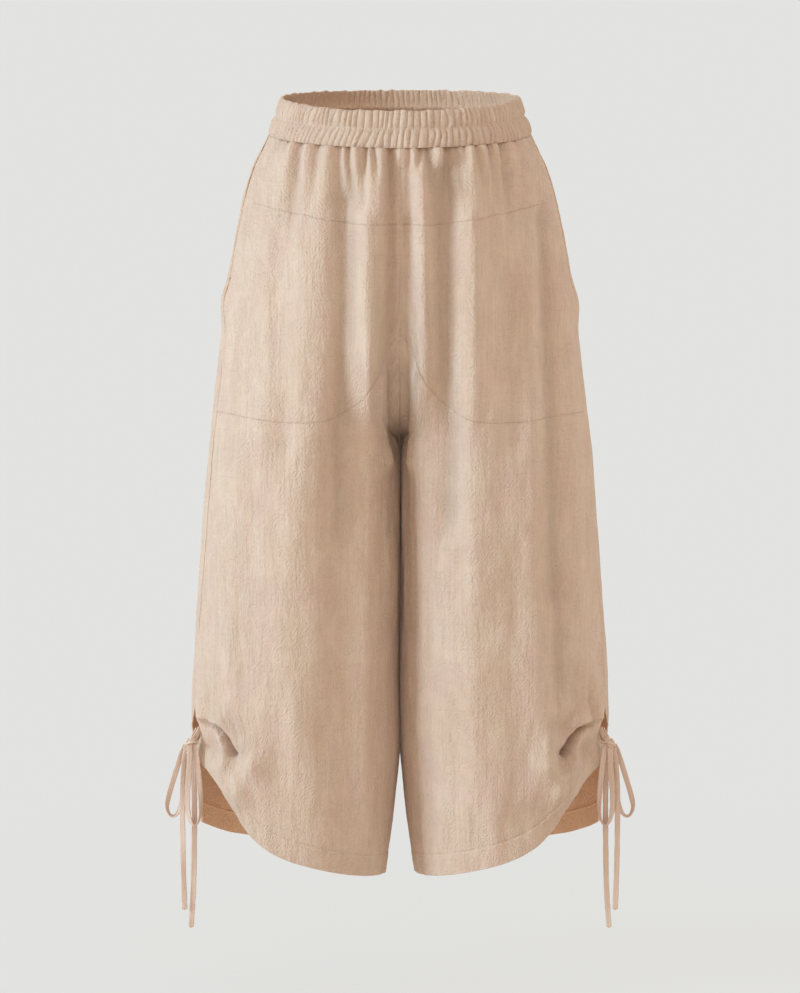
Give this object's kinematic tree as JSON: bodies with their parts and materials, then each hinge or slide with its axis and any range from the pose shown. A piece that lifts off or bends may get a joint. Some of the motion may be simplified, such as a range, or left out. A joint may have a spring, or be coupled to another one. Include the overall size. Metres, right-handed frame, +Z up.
{
  "type": "wide culottes",
  "caption": "Wide linen-cotton culottes with an elastic waist, front yokes, side pockets, a curved front hem and tied side slits.",
  "frame": {"origin": "middle of the elastic waist, where the wearer's waist holds the garment", "axes": "+Z up the body, -Y out of the front, +X towards the wearer's left"},
  "size_m": [0.4808, 0.2493, 0.8602],
  "materials": {
    "cloth": "matt crinkled linen-cotton",
    "pocket": "matt crinkled linen-cotton",
    "tie": "matt linen-cotton, sewn into flat cords"
  },
  "bodies": {
    "root": {"waistband": "cloth", "front_yoke_left": "cloth", "front_yoke_right": "cloth", "front_hip_left": "cloth", "front_hip_right": "cloth", "front_leg_left": "cloth", "front_leg_right": "cloth", "back_left": "cloth", "back_right": "cloth", "pocket_back_left": "pocket", "pocket_back_right": "pocket", "tie_knot_left": "tie", "tie_knot_right": "tie", "tie_loop_outer_left": "tie", "tie_loop_outer_right": "tie", "tie_loop_inner_left": "tie", "tie_loop_inner_right": "tie", "tie_end_short_left": "tie", "tie_end_short_right": "tie", "tie_end_long_left": "tie", "tie_end_long_right": "tie"}
  },
  "joints": []
}
